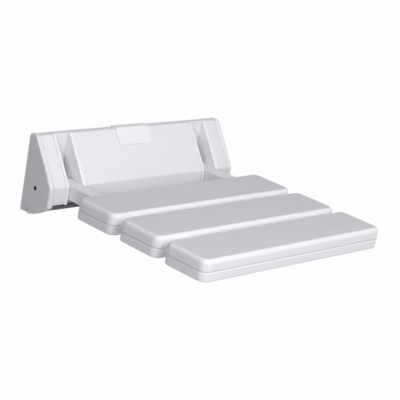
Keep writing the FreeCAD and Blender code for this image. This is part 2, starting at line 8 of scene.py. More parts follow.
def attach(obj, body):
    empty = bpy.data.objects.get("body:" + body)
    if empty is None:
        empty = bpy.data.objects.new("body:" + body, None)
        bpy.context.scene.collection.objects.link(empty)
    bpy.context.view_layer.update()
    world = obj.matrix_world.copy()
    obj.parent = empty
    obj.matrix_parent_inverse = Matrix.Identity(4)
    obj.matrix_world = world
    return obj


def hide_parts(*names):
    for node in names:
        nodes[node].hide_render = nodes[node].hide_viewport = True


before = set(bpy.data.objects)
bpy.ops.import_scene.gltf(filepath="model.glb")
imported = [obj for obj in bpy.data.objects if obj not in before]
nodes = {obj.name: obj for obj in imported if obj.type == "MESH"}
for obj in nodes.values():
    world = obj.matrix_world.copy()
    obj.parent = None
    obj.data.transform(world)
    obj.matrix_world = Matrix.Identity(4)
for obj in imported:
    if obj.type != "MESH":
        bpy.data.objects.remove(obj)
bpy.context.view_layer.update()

# Fold down wall seat. Shapes are drawn in mm in the CAD's frame: X across, +Y into the wall, Z up,
# with the origin on the wall in the middle of the four wall screws. finishPiece turns them into metres.

scene = bpy.context.scene


# Shader building: put() makes a node, sets or links its sockets and hands it back
def put(tree, kind, sockets=None, **settings):
    node = tree.nodes.new("ShaderNode" + kind)
    for name, value in settings.items():
        setattr(node, name, value)
    for name, value in (sockets or {}).items():
        if isinstance(value, bpy.types.NodeSocket):
            tree.links.new(value, node.inputs[name])
        else:
            node.inputs[name].default_value = value
    return node


def mixColour(tree, factor, first, second):
    mixer = put(tree, "Mix", data_type="RGBA")
    for socket, value in ((mixer.inputs[0], factor), (mixer.inputs[6], first), (mixer.inputs[7], second)):
        if isinstance(value, bpy.types.NodeSocket):
            tree.links.new(value, socket)
        else:
            socket.default_value = value
    return mixer.outputs[2]


def newGroup(name, inputs, outputs):
    tree = bpy.data.node_groups.new(name, "ShaderNodeTree")
    for label, value in inputs.items():
        kind = "NodeSocketVector" if isinstance(value, tuple) else "NodeSocketFloat"
        tree.interface.new_socket(label, in_out="INPUT", socket_type=kind).default_value = value
    for label in outputs:
        tree.interface.new_socket(label, in_out="OUTPUT", socket_type="NodeSocketFloat")
    return tree, tree.nodes.new("NodeGroupInput"), tree.nodes.new("NodeGroupOutput")


# Grain of a moulded, coated or brushed surface. Stretch draws it out along an axis.
def makeSurfaceGrain():
    inputs = {"Size": 900.0, "Stretch": (1.0, 1.0, 1.0), "Cells": 0.4}
    tree, given, result = newGroup("surfaceGrain", inputs, ["Height", "Tone"])
    coords = put(tree, "TexCoord").outputs["Object"]
    placed = put(tree, "Mapping", {"Vector": coords, "Scale": given.outputs["Stretch"]}).outputs["Vector"]
    noise = put(tree, "TexNoise", {"Vector": placed, "Scale": given.outputs["Size"], "Detail": 3.0,
                                   "Roughness": 0.6})
    cells = put(tree, "TexVoronoi", {"Vector": placed, "Scale": given.outputs["Size"]},
                feature="SMOOTH_F1")
    blended = put(tree, "Mix", {"Factor": given.outputs["Cells"]}, data_type="FLOAT")
    tree.links.new(noise.outputs["Fac"], blended.inputs[2])
    tree.links.new(cells.outputs["Distance"], blended.inputs[3])
    tree.links.new(blended.outputs[0], result.inputs["Height"])
    slow = put(tree, "TexNoise", {"Vector": placed, "Scale": 14.0, "Detail": 4.0, "Roughness": 0.55})
    spread = put(tree, "MapRange", {"Value": slow.outputs["Fac"], "From Min": 0.2, "From Max": 0.8})
    tree.links.new(spread.outputs["Result"], result.inputs["Tone"])
    return tree


# Faint dust on what faces up
def makeSoftDust():
    tree, given, result = newGroup("softDust", {"Amount": 0.1}, ["Mask"])
    coords = put(tree, "TexCoord")
    facing = put(tree, "SeparateXYZ", {"Vector": put(tree, "NewGeometry").outputs["Normal"]})
    up = put(tree, "MapRange", {"Value": facing.outputs["Z"], "From Min": 0.3, "From Max": 1.0})
    patches = put(tree, "TexNoise", {"Vector": coords.outputs["Object"], "Scale": 38.0, "Detail": 6.0,
                                     "Roughness": 0.7})
    broken = put(tree, "MapRange", {"Value": patches.outputs["Fac"], "From Min": 0.4, "From Max": 0.75})
    shared = put(tree, "Math", {0: up.outputs["Result"], 1: broken.outputs["Result"]},
                 operation="MULTIPLY")
    scaled = put(tree, "Math", {0: shared.outputs[0], 1: given.outputs["Amount"]}, operation="MULTIPLY")
    tree.links.new(scaled.outputs[0], result.inputs["Mask"])
    return tree


# Rubbed edges: where a rounded normal leaves the real one, broken up by noise
def makeRubbedEdges():
    tree, given, result = newGroup("rubbedEdges", {"Width": 0.0008, "Amount": 0.3}, ["Mask"])
    rounded = put(tree, "Bevel", {"Radius": given.outputs["Width"]}, samples=4)
    real = put(tree, "NewGeometry").outputs["Normal"]
    match = put(tree, "VectorMath", {0: rounded.outputs["Normal"], 1: real}, operation="DOT_PRODUCT")
    edge = put(tree, "MapRange", {"Value": match.outputs["Value"], "From Min": 0.995, "From Max": 0.86})
    spots = put(tree, "TexNoise", {"Vector": put(tree, "TexCoord").outputs["Object"], "Scale": 160.0,
                                   "Detail": 4.0})
    broken = put(tree, "MapRange", {"Value": spots.outputs["Fac"], "From Min": 0.4, "From Max": 0.6})
    shared = put(tree, "Math", {0: edge.outputs["Result"], 1: broken.outputs["Result"]},
                 operation="MULTIPLY")
    scaled = put(tree, "Math", {0: shared.outputs[0], 1: given.outputs["Amount"]}, operation="MULTIPLY")
    tree.links.new(scaled.outputs[0], result.inputs["Mask"])
    return tree


surfaceGrain, softDust, rubbedEdges = makeSurfaceGrain(), makeSoftDust(), makeRubbedEdges()

# Finishes. size is grains per metre, depth the grain's height in metres, drift how far the tone wanders,
# cells the share of a cellular grain, worn the colour of rubbed edges and wear how much of it shows.
finishes = {
    "coverGloss": {"colour": (0.785, 0.778, 0.82), "drift": 0.02, "rough": (0.34, 0.38), "size": 700.0,
                   "depth": 0.00001, "cells": 0.2, "dust": 0.05, "wear": 0.15, "worn": (0.86, 0.86, 0.88)},
    # recess caps: the covers' white plastic, glossier, and painted lighter as a highlight on their beads
    "capGlossWithPaintedHighlight": {"colour": (0.85, 0.843, 0.88), "drift": 0.02, "rough": (0.22, 0.26), "size": 700.0,
                 "depth": 0.00001, "cells": 0.2, "dust": 0.05, "wear": 0.15, "worn": (0.9, 0.9, 0.91)},
    "tabGloss": {"colour": (0.85, 0.845, 0.87), "drift": 0.02, "rough": (0.32, 0.36), "size": 700.0,
                 "depth": 0.00001, "cells": 0.2, "dust": 0.05, "wear": 0.15, "worn": (0.88, 0.88, 0.89)},
    "slatBand": {"colour": (0.83, 0.823, 0.863), "drift": 0.02, "rough": (0.44, 0.50), "size": 1100.0,
                 "depth": 0.00001, "cells": 0.3, "dust": 0.05, "wear": 0.15, "worn": (0.86, 0.86, 0.88)},
    "slatPanel": {"colour": (0.70, 0.693, 0.73), "drift": 0.04, "rough": (0.62, 0.74), "size": 1300.0,
                  "depth": 0.00008, "cells": 0.7, "dust": 0.06, "wear": 0.0, "worn": (0.8, 0.8, 0.8)},
    "armCoat": {"colour": (0.80, 0.793, 0.83), "drift": 0.02, "rough": (0.38, 0.5), "size": 520.0,
                "depth": 0.00003, "cells": 0.15, "dust": 0.06, "wear": 0.3, "worn": (0.62, 0.62, 0.63)},
    "blockCoat": {"colour": (0.77, 0.77, 0.8), "drift": 0.03, "rough": (0.42, 0.55), "size": 420.0,
                  "depth": 0.00006, "cells": 0.35, "dust": 0.05, "wear": 0.3, "worn": (0.6, 0.6, 0.61)},
    "zincSteel": {"colour": (0.62, 0.63, 0.64), "drift": 0.16, "rough": (0.26, 0.42), "size": 500.0,
                  "depth": 0.00002, "cells": 0.1, "dust": 0.1, "wear": 0.5, "worn": (0.82, 0.82, 0.83),
                  "metal": 1.0, "stretch": (0.12, 1.0, 1.0)},
    "padRubber": {"colour": (0.60, 0.60, 0.61), "drift": 0.15, "rough": (0.72, 0.86), "size": 900.0,
                  "depth": 0.00006, "cells": 0.5, "dust": 0.15, "wear": 0.3, "worn": (0.66, 0.66, 0.67)},
    # painted shade: near-black colour for the shadowed underside of the wall plate's chin
    "paintedShadeBlack": {"colour": (0.055, 0.055, 0.060), "drift": 0.2, "rough": (0.55, 0.7), "size": 900.0,
                   "depth": 0.00004, "cells": 0.5, "dust": 0.1, "wear": 0.3, "worn": (0.12, 0.12, 0.12)},
    "bushNylon": {"colour": (0.72, 0.70, 0.64), "drift": 0.06, "rough": (0.36, 0.46), "size": 600.0,
                  "depth": 0.00002, "cells": 0.2, "dust": 0.05, "wear": 0.2, "worn": (0.8, 0.79, 0.75)},
    # near black: the real plugs in the arm ends, and painted shade in the end caps' key holes
    "plugBlackAndHoleShade": {"colour": (0.018, 0.018, 0.019), "drift": 0.2, "rough": (0.4, 0.52), "size": 900.0,
                  "depth": 0.00003, "cells": 0.4, "dust": 0.2, "wear": 0.3, "worn": (0.06, 0.06, 0.06)},
}
dustColour = (0.55, 0.54, 0.52, 1.0)


def makeFinish(name, look):
    material = bpy.data.materials.new(name)
    material.use_nodes = True
    tree = material.node_tree
    shader = tree.nodes["Principled BSDF"]
    shader.inputs["Metallic"].default_value = look.get("metal", 0.0)
    grain = put(tree, "Group", node_tree=surfaceGrain)
    grain.inputs["Size"].default_value = look["size"]
    grain.inputs["Stretch"].default_value = look.get("stretch", (1.0, 1.0, 1.0))
    grain.inputs["Cells"].default_value = look["cells"]
    dust = put(tree, "Group", node_tree=softDust)
    dust.inputs["Amount"].default_value = look["dust"]
    wear = put(tree, "Group", node_tree=rubbedEdges)
    wear.inputs["Amount"].default_value = look["wear"]
    plain = (*look["colour"], 1.0)
    deeper = (*[channel * (1 - look["drift"]) for channel in look["colour"]], 1.0)
    body = mixColour(tree, grain.outputs["Tone"], deeper, plain)
    dusted = mixColour(tree, dust.outputs["Mask"], body, dustColour)
    rubbed = mixColour(tree, wear.outputs["Mask"], dusted, (*look["worn"], 1.0))
    tree.links.new(rubbed, shader.inputs["Base Color"])
    lowRough, highRough = look["rough"]
    rough = put(tree, "MapRange", {"Value": grain.outputs["Tone"], "To Min": lowRough,
                                   "To Max": highRough})
    tree.links.new(rough.outputs["Result"], shader.inputs["Roughness"])
    bump = put(tree, "Bump", {"Strength": 1.0, "Distance": look["depth"],
                              "Height": grain.outputs["Height"]})
    tree.links.new(bump.outputs["Normal"], shader.inputs["Normal"])
    return material


finish = {name: makeFinish(name, look) for name, look in finishes.items()}
print("finishes made:", len(finish))


# Mesh helpers. slack holds tolerances in mm: for a plane, a corner, a face's middle, a wall and a cut.
slack = {"plane": 0.01, "corner": 0.02, "face": 0.05, "wall": 1.0, "cut": 0.0001}
squareOn = 0.99  # the least cosine between a face's normal and an axis that it is square to
millimetre = 0.001
facingX = Matrix.Rotation(math.radians(90), 4, "Y")  # turns a flat ring to face along X


def vertsOf(parts):
    return [part for part in parts if isinstance(part, bmesh.types.BMVert)]


# Each item once, in the order in which it came
def unique(items):
    return list(dict.fromkeys(items))


# A section is drawn as (y, z) corners at one station and pushed along X
def extrudedSection(bm, corners, start, end):
    face = bm.faces.new([bm.verts.new((start, y, z)) for y, z in corners])
    pushed = bmesh.ops.extrude_face_region(bm, geom=[face])["geom"]
    bmesh.ops.translate(bm, verts=vertsOf(pushed), vec=(end - start, 0, 0))
    bmesh.ops.recalc_face_normals(bm, faces=bm.faces)


def edgesWhere(bm, test):
    return [edge for edge in bm.edges if test(edge.verts[0].co, edge.verts[1].co)]


def edgesInPlane(bm, axis, place):
    return edgesWhere(bm, lambda a, b: max(abs(a[axis] - place), abs(b[axis] - place)) < slack["plane"])


# Picks the straight edge along X through one corner of the section
def alongX(y, z):
    def test(a, b):
        return abs(a.x - b.x) > 1 and all(max(abs(end.y - y), abs(end.z - z)) < slack["corner"]
                                          for end in (a, b))
    return test


def softenEdges(bm, edges, radius, segments):
    bmesh.ops.bevel(bm, geom=edges, offset=radius, offset_type="OFFSET", segments=segments, profile=0.5,
                    affect="EDGES", material=-1, clamp_overlap=False)


# The largest face square to an axis at one place
def flatFace(bm, axis, place, sign):
    found = [face for face in bm.faces if face.normal[axis] * sign > squareOn
             and abs(face.calc_center_median()[axis] - place) < slack["face"]]
    return max(found, key=lambda face: face.calc_area())


# The edges of a circle, flat or turned
def ringOf(bm, centre, radius, segments, turn=Matrix()):
    made = bmesh.ops.create_circle(bm, cap_ends=False, segments=segments, radius=radius,
                                   matrix=Matrix.Translation(centre) @ turn)
    return unique(edge for vert in made["verts"] for edge in vert.link_edges)


# Takes a flat face away and fills it again round the rings
def openFace(bm, face, rings):
    border = list(face.edges)
    normal = face.normal.copy()
    bmesh.ops.delete(bm, geom=[face], context="FACES_ONLY")
    bmesh.ops.triangle_fill(bm, use_beauty=True, use_dissolve=False, normal=normal,
                            edges=border + [edge for ring in rings for edge in ring])


# Pushes a ring's edges by shift and closes the end
def deepen(bm, ring, shift):
    pushed = bmesh.ops.extrude_edge_only(bm, edges=ring)["geom"]
    bmesh.ops.translate(bm, verts=vertsOf(pushed), vec=shift)
    bmesh.ops.holes_fill(bm, edges=[item for item in pushed if isinstance(item, bmesh.types.BMEdge)])


# A round disc pushed by shift into a closed block
def pushedDisc(bm, place, radius, segments, shift):
    bmesh.ops.create_circle(bm, cap_ends=True, segments=segments, radius=radius, matrix=place)
    pushed = bmesh.ops.extrude_face_region(bm, geom=bm.faces[:])["geom"]
    bmesh.ops.translate(bm, verts=vertsOf(pushed), vec=shift)
    bmesh.ops.recalc_face_normals(bm, faces=bm.faces)


# Turns a mesh into a piece: skins are its finishes, stands the CAD nodes that it replaces, wall the
# thickness that a shell is given inwards, and sharp the angle past which an edge stays crisp
def finishPiece(bm, name, body, skins, stands=(), wall=None, sharp=40):
    if wall is None:
        bmesh.ops.recalc_face_normals(bm, faces=bm.faces)
    bmesh.ops.scale(bm, vec=(millimetre, millimetre, millimetre), verts=bm.verts)
    mesh = bpy.data.meshes.new(name)
    bm.to_mesh(mesh)
    bm.free()
    for skin in skins:
        mesh.materials.append(finish[skin])
    mesh.polygons.foreach_set("use_smooth", [True] * len(mesh.polygons))
    mesh.set_sharp_from_angle(angle=math.radians(sharp))
    piece = bpy.data.objects.new(name, mesh)
    scene.collection.objects.link(piece)
    if wall:
        shell = piece.modifiers.new("wall", "SOLIDIFY")
        shell.thickness = wall * millimetre
        shell.offset = -1
        shell.use_even_offset = True
    flat = piece.modifiers.new("flatFaces", "WEIGHTED_NORMAL")
    flat.keep_sharp = True
    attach(piece, body)
    if stands:
        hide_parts(*stands)


# Bracket: the sloping outline that covers and caps share, offset outwards by grow
bracket = {"high": 60.0, "depth": 60.3, "topDepth": 12.0, "widest": -7.4, "nose": -35.0}
run = bracket["depth"] - bracket["topDepth"]
fall = bracket["high"] - bracket["widest"]
slope = math.hypot(run, fall)
topShift = (slope - run) / fall
frontShift = (slope - fall) / run


def slopeOutline(grow, rear, toe):
    return [(rear, bracket["high"] + grow),
            (-bracket["topDepth"] - grow * topShift, bracket["high"] + grow),
            (-bracket["depth"] - grow, bracket["widest"] + grow * frontShift),
            (-bracket["depth"] - grow, toe)]


# Covers: bent sheets, hooked over the wall plate's top, with a lip turned in at the nose
cover = {"wall": 2.4, "bend": 1.8, "rim": 0.45, "plateDepth": 8.5, "lip": 1.6, "hook": 9.0,
         "lipDepth": 50.0, "skin": 1.2, "rimRear": -10.7,
         "spans": {"leftCover": (-188.6, -165.95), "centreCover": (-126.05, 126.05),
                   "rightCover": (165.95, 188.6)}}


def makeCover(name, start, end):
    wall, plate, lip = cover["wall"], cover["plateDepth"], cover["lip"]
    outside = slopeOutline(0, -plate, bracket["nose"])
    inside = [(-cover["lipDepth"], bracket["nose"]),
              (-cover["lipDepth"], bracket["nose"] + wall),
              (-bracket["depth"] + wall, bracket["nose"] + wall),
              (-bracket["depth"] + wall, bracket["widest"] - wall * frontShift),
              (-bracket["topDepth"] + wall * topShift, bracket["high"] - wall),
              (-plate - lip, bracket["high"] - wall),
              (-plate - lip, bracket["high"] - cover["hook"]),
              (-plate, bracket["high"] - cover["hook"])]
    bm = bmesh.new()
    extrudedSection(bm, outside + inside, start, end)
    bends = [edge for spot in outside[1:] for edge in edgesWhere(bm, alongX(*spot))]
    softenEdges(bm, bends, cover["bend"], segments=6)
    ends = edgesWhere(bm, lambda a, b: abs(a.x - b.x) < slack["plane"]
                      and (a.y + b.y) / 2 < cover["rimRear"] and onSkin(a) and onSkin(b))
    softenEdges(bm, ends, cover["rim"], segments=3)
    finishPiece(bm, name, "wall_bracket", ["coverGloss"], [name.replace("Cover", "_cover")])


# True for a point on the covers' outer skin
def onSkin(point):
    inward = (point.y + bracket["depth"]) * fall / slope - (point.z - bracket["widest"]) * run / slope
    return min(inward, point.y + bracket["depth"], bracket["high"] - point.z) < cover["skin"]


for name, span in cover["spans"].items():
    makeCover(name, *span)
print("covers made")

# End caps: dishes whose rims stand proud of the covers, with a key hole and a notched foot. bends holds
# the corner's number, the radius and the segments. sunk keeps the inner step below the covers' skin.
endCap = {"inner": 189.0, "outer": 198.0, "crown": 192.4, "proud": 1.2, "sunk": 0.05, "round": 4.4,
          "wall": 2.4, "keyHole": 3.9, "pivot": (-26.5, -17.3), "toe": -39.1, "rimRear": -21.5,
          "foot": ((-43.5, -52.0), (-22.7, -59.6), (-16.4, -59.6), (-16.4, -50.5), (-13.2, -50.5),
                   (-13.2, -59.0), (0, -59.0)),
          "bends": ((1, 2.0, 6), (2, 3.0, 8), (3, 3.0, 5), (4, 14.0, 8), (5, 5.0, 6))}


def makeEndCap(side):
    corners = [*slopeOutline(endCap["proud"], 0, endCap["toe"]), *endCap["foot"]]
    bm = bmesh.new()
    extrudedSection(bm, corners, side * endCap["crown"], side * endCap["outer"])
    for number, radius, segments in endCap["bends"]:
        softenEdges(bm, edgesWhere(bm, alongX(*corners[number])), radius, segments)
    outer, inner = side * endCap["outer"], side * endCap["inner"]
    rim = [edge for edge in edgesInPlane(bm, 0, outer)
           if min(vert.co.z for vert in edge.verts) > bracket["high"]
           or max(vert.co.y for vert in edge.verts) < endCap["rimRear"]]
    softenEdges(bm, rim, endCap["round"], segments=8)
    crown = flatFace(bm, 0, side * endCap["crown"], -side)
    bmesh.ops.inset_region(bm, faces=[crown], thickness=endCap["proud"] - endCap["sunk"],
                           depth=endCap["crown"] - endCap["inner"], use_even_offset=True)
    hidden = flatFace(bm, 0, inner, -side)
    bmesh.ops.inset_region(bm, faces=[hidden], thickness=endCap["wall"], use_even_offset=True)
    hidden = flatFace(bm, 0, inner, -side)
    deep = bmesh.ops.extrude_face_region(bm, geom=[hidden])["geom"]
    bmesh.ops.delete(bm, geom=[hidden], context="FACES_ONLY")
    depth = endCap["outer"] - endCap["inner"] - endCap["wall"]
    bmesh.ops.translate(bm, verts=vertsOf(deep), vec=(side * depth, 0, 0))
    boreThrough(bm, ((outer, side), (inner + side * depth, -side)), endCap["keyHole"], segments=32)
    return bm


# A round hole on the pivot's axis, between two faces given as (station, which way it faces)
def boreThrough(bm, ends, radius, segments):
    rings = []
    for station, facing in ends:
        rings.append(ringOf(bm, Vector((station, *endCap["pivot"])), radius, segments, facingX))
        openFace(bm, flatFace(bm, 0, station, facing), [rings[-1]])
    bmesh.ops.bridge_loops(bm, edges=rings[0] + rings[1])


# Recess caps: narrower caps on both sides of each recess, each with a bead along its rim. stations holds
# the face that shows in the recess and the face that meets the cover.
recessCap = {"round": 2.6, "back": 0.9, "stations": ((159.4, 165.7), (132.6, 126.3)), "bushHole": 7.3,
             "under": ((-50.0, -40.65), (-20.0, -54.4)), "bends": ((1, 2.0), (2, 3.0)), "rimAbove": 0.1,
             "rimRear": -8.6}


def makeRecessCap(side, shown, hidden):
    corners = slopeOutline(endCap["proud"], -cover["plateDepth"], bracket["nose"])
    corners += [(-cover["lipDepth"], bracket["nose"]), *recessCap["under"],
                (-cover["plateDepth"], recessCap["under"][-1][1])]
    bm = bmesh.new()
    extrudedSection(bm, corners, side * shown, side * hidden)
    for number, radius in recessCap["bends"]:
        softenEdges(bm, edgesWhere(bm, alongX(*corners[number])), radius, segments=6)
    for station, radius, segments in ((shown, recessCap["round"], 7), (hidden, recessCap["back"], 3)):
        rim = [edge for edge in edgesInPlane(bm, 0, side * station)
               if max(vert.co.z for vert in edge.verts) > bracket["nose"] + recessCap["rimAbove"]
               and min(vert.co.y for vert in edge.verts) < recessCap["rimRear"]]
        softenEdges(bm, rim, radius, segments)
    outwards = math.copysign(1, side * (shown - hidden))
    boreThrough(bm, ((side * shown, outwards), (side * hidden, -outwards)), recessCap["bushHole"],
                segments=40)
    return bm


# Near-black plugs in the end caps' key holes, each with a hexagonal hollow: painted shade for the dark
# inside of the key holes
keyHoleShade = {"radius": 3.8, "set": 0.9, "length": 4.0, "rim": 0.5, "hexagon": 2.3, "hollow": 1.6}


def makeKeyHoleShade(side):
    face = side * (endCap["outer"] - keyHoleShade["set"])
    bm = bmesh.new()
    pushedDisc(bm, Matrix.Translation((face, *endCap["pivot"])) @ facingX, keyHoleShade["radius"], 32,
               (-side * keyHoleShade["length"], 0, 0))
    softenEdges(bm, edgesInPlane(bm, 0, face), keyHoleShade["rim"], segments=3)
    socket = ringOf(bm, Vector((face, *endCap["pivot"])), keyHoleShade["hexagon"], 6, facingX)
    openFace(bm, flatFace(bm, 0, face, side), [socket])
    deepen(bm, socket, (-side * keyHoleShade["hollow"], 0, 0))
    return bm


# One mesh of several, for pieces that stand for one CAD node
def joined(meshes):
    whole = bmesh.new()
    for bm in meshes:
        part = bpy.data.meshes.new("part")
        bm.to_mesh(part)
        bm.free()
        whole.from_mesh(part)
        bpy.data.meshes.remove(part)
    return whole


finishPiece(joined([makeEndCap(-1), makeEndCap(1)]), "endCaps", "wall_bracket",
            ["coverGloss"], ["end_caps"])
# the recess caps' finish is painted lighter than the covers' as a painted highlight on the beads
finishPiece(joined([makeRecessCap(side, *span) for side in (-1, 1) for span in recessCap["stations"]]),
            "recessCaps", "wall_bracket", ["capGlossWithPaintedHighlight"], ["recess_caps"])
# the key hole plugs are painted shade for the shadowed holes over the pivot bolts
finishPiece(joined([makeKeyHoleShade(-1), makeKeyHoleShade(1)]), "keyHoleShades", "wall_bracket",
            ["plugBlackAndHoleShade"])
print("caps made")

# Blank tab bent over the centre cover's top edge
tab = {"left": -38.5, "right": 30.5, "rear": -1.0, "wall": 2.2, "foot": 37.5, "footZone": 2.0,
       "corner": 5.0, "bend": 1.8, "rim": 0.7, "rimTop": 59.5, "forward": -0.7}


def makeTab():
    wall = tab["wall"]
    footY = -bracket["topDepth"] - (bracket["high"] - tab["foot"]) * run / fall
    corners = [(tab["rear"], bracket["high"]), (tab["rear"], bracket["high"] + wall),
               (-bracket["topDepth"] - wall * topShift, bracket["high"] + wall),
               (footY - wall * fall / slope, tab["foot"] + wall * run / slope),
               (footY, tab["foot"]), (-bracket["topDepth"], bracket["high"])]
    bm = bmesh.new()
    extrudedSection(bm, corners, tab["left"], tab["right"])
    lower = edgesWhere(bm, lambda a, b: abs(a.x - b.x) < slack["plane"]
                       and max(a.z, b.z) < tab["foot"] + tab["footZone"])
    softenEdges(bm, lower, tab["corner"], segments=10)
    softenEdges(bm, edgesWhere(bm, alongX(*corners[2])), tab["bend"], segments=6)
    front = max((face for face in bm.faces if face.normal.y < tab["forward"]),
                key=lambda face: face.calc_area())
    rim = [edge for edge in front.edges if max(vert.co.z for vert in edge.verts) < tab["rimTop"]]
    softenEdges(bm, rim, tab["rim"], segments=4)
    finishPiece(bm, "topTab", "wall_bracket", ["tabGloss"], ["top_tab"])


makeTab()
print("tab made")

# Near-black strip along the wall plate's chin, under the covers' lower edge and across both recesses:
# painted shade for the shadowed underside of the chin
chinPaintedShadeStrip = {"end": 188.4, "proud": 0.7, "lean": 0.25, "thick": 1.2, "corner": 5.5, "edge": 0.5,
            "path": ((-59.5, -35.1), (-59.5, -36.2), (-52.9, -44.6), (-40.0, -50.4))}


def makeChinPaintedShadeStrip():
    path = [Vector((0, y, z)) for y, z in chinPaintedShadeStrip["path"]]
    shift = Vector((0, -chinPaintedShadeStrip["proud"], -chinPaintedShadeStrip["lean"] * chinPaintedShadeStrip["proud"]))
    outside = [point + shift for point in path[:-1]]
    corners = [(point.y, point.z) for point in (path[0] + Vector((0, shift.y, 0)), *outside[1:], path[-1])]
    corners += [(point.y + chinPaintedShadeStrip["thick"], point.z + chinPaintedShadeStrip["thick"]) for point in reversed(path)]
    bm = bmesh.new()
    extrudedSection(bm, corners, -chinPaintedShadeStrip["end"], chinPaintedShadeStrip["end"])
    softenEdges(bm, edgesWhere(bm, alongX(*corners[2])), chinPaintedShadeStrip["corner"], segments=8)
    softenEdges(bm, edgesWhere(bm, alongX(*corners[1])), chinPaintedShadeStrip["edge"], segments=3)
    finishPiece(bm, "chinPaintedShadeStrip", "wall_bracket", ["paintedShadeBlack"])


makeChinPaintedShadeStrip()

# Slats: an upper and a lower moulding, open to each other at the seam, notched for the arms. The top's
# rounding is cut off at the panel, crest below its own top, which leaves a crease round the panel.
slat = {"halfWidth": 195.0, "halfDepth": 40.5, "middles": (-156.5, -248.5, -340.5), "corner": 13.0,
        "seam": -17.5, "gap": 0.45, "bottom": -32.3, "topRound": 7.05, "crest": 0.45, "lowRound": 2.4,
        "groove": 2.2, "lip": 0.5, "wall": 2.8, "lowWall": 2.1, "tongueInset": 2.05, "tongueHeight": 4.0,
        "tongueWall": 0.4, "creaseAngle": 17}
armHole = {"near": 133.2, "far": 158.8, "floor": -28.85, "wallLow": -29.85, "wallHigh": -6.0}
screw = {"spots": ((146.0, -20.0), (146.0, 20.0), (78.0, 0.0), (0.0, 26.0), (0.0, -26.0)), "well": 5.4,
         "depth": 1.9, "head": 4.1, "headHeight": 1.5, "rim": 1.1, "slotLong": 2.0, "slotWide": 0.45,
         "slotDeep": 0.8, "segments": 28}


# A slat's round-cornered plan between two heights, drawn in on all sides by inset
def slatBlock(middle, low, high, inset=0):
    bm = bmesh.new()
    plan = bmesh.ops.create_grid(bm, x_segments=1, y_segments=1, size=1)["verts"]
    bmesh.ops.scale(bm, vec=(slat["halfWidth"] - inset, slat["halfDepth"] - inset, 1), verts=plan)
    bmesh.ops.translate(bm, verts=plan, vec=(0, middle, low))
    bmesh.ops.bevel(bm, geom=bm.verts[:], offset=slat["corner"] - inset, offset_type="OFFSET", segments=14,
                    profile=0.5, affect="VERTICES", material=-1)
    pushed = bmesh.ops.extrude_face_region(bm, geom=bm.faces[:])["geom"]
    bmesh.ops.translate(bm, verts=vertsOf(pushed), vec=(0, 0, high - low))
    bmesh.ops.recalc_face_normals(bm, faces=bm.faces)
    return bm


def splitWalls(bm, walls, point, normal):
    parts = unique(item for face in walls for item in (face, *face.edges, *face.verts))
    bmesh.ops.bisect_plane(bm, geom=parts, dist=slack["cut"], plane_co=point, plane_no=normal)


# Opens the rear wall for both arms, and the front wall where another slat follows
def notchForArms(bm, middle, place, inset=0):
    for sign in (1, -1) if place < 2 else (1,):
        y = middle + sign * (slat["halfDepth"] - inset)

        def onWall(face):
            centre = face.calc_center_median()
            return face.normal.y * sign > 0.5 and abs(centre.y - y) < slack["wall"] \
                and abs(centre.x) < slat["halfWidth"] - slat["corner"] \
                and armHole["wallLow"] < centre.z < armHole["wallHigh"]

        for x in (armHole["near"], armHole["far"]):
            for side in (-1, 1):
                splitWalls(bm, [face for face in bm.faces if onWall(face)], (side * x, y, 0), (1, 0, 0))
        beside = [face for face in bm.faces if onWall(face)
                  and armHole["near"] < abs(face.calc_center_median().x) < armHole["far"]]
        splitWalls(bm, beside, (0, y, armHole["floor"]), (0, 0, 1))
        gone = [face for face in bm.faces if onWall(face)
                and face.calc_center_median().z > armHole["floor"]
                and armHole["near"] < abs(face.calc_center_median().x) < armHole["far"]]
        bmesh.ops.delete(bm, geom=gone, context="FACES")


def makeSlatTop(place, middle):
    lowEdge, crest = slat["seam"] + slat["gap"], slat["crest"]
    bm = slatBlock(middle, lowEdge, crest)
    softenEdges(bm, edgesInPlane(bm, 2, crest), slat["topRound"] + crest, segments=10)
    softenEdges(bm, edgesInPlane(bm, 2, lowEdge), slat["lip"], segments=2)
    bmesh.ops.bisect_plane(bm, geom=bm.verts[:] + bm.edges[:] + bm.faces[:], dist=slack["cut"],
                           plane_co=(0, 0, 0), plane_no=(0, 0, 1), clear_outer=True)
    bmesh.ops.holes_fill(bm, edges=edgesInPlane(bm, 2, 0))
    bmesh.ops.recalc_face_normals(bm, faces=bm.faces)
    flatFace(bm, 2, 0, 1).material_index = 1
    bmesh.ops.delete(bm, geom=[flatFace(bm, 2, lowEdge, -1)], context="FACES_ONLY")
    notchForArms(bm, middle, place)
    finishPiece(bm, "slat%dTop" % (place + 1), "seat", ["slatBand", "slatPanel"],
                ["slat_%d_top" % (place + 1)], wall=slat["wall"], sharp=slat["creaseAngle"])


def makeSlatBase(place, middle):
    highEdge = slat["seam"] - slat["gap"]
    bm = slatBlock(middle, slat["bottom"], highEdge)
    softenEdges(bm, edgesInPlane(bm, 2, slat["bottom"]), slat["lowRound"], segments=5)
    softenEdges(bm, edgesInPlane(bm, 2, highEdge), slat["groove"], segments=5)
    bmesh.ops.delete(bm, geom=[flatFace(bm, 2, highEdge, 1)], context="FACES_ONLY")
    floor = flatFace(bm, 2, slat["bottom"], -1)
    spots = [(side * x, middle + y) for x, y in screw["spots"] for side in ((-1, 1) if x else (1,))]
    wells = [ringOf(bm, Vector((x, y, slat["bottom"])), screw["well"], screw["segments"])
             for x, y in spots]
    openFace(bm, floor, wells)
    for well in wells:
        deepen(bm, well, (0, 0, screw["depth"]))
    bmesh.ops.recalc_face_normals(bm, faces=bm.faces)
    notchForArms(bm, middle, place)
    finishPiece(bm, "slat%dBase" % (place + 1), "seat", ["slatBand"],
                ["slat_%d_base" % (place + 1)], wall=slat["lowWall"])
    return spots


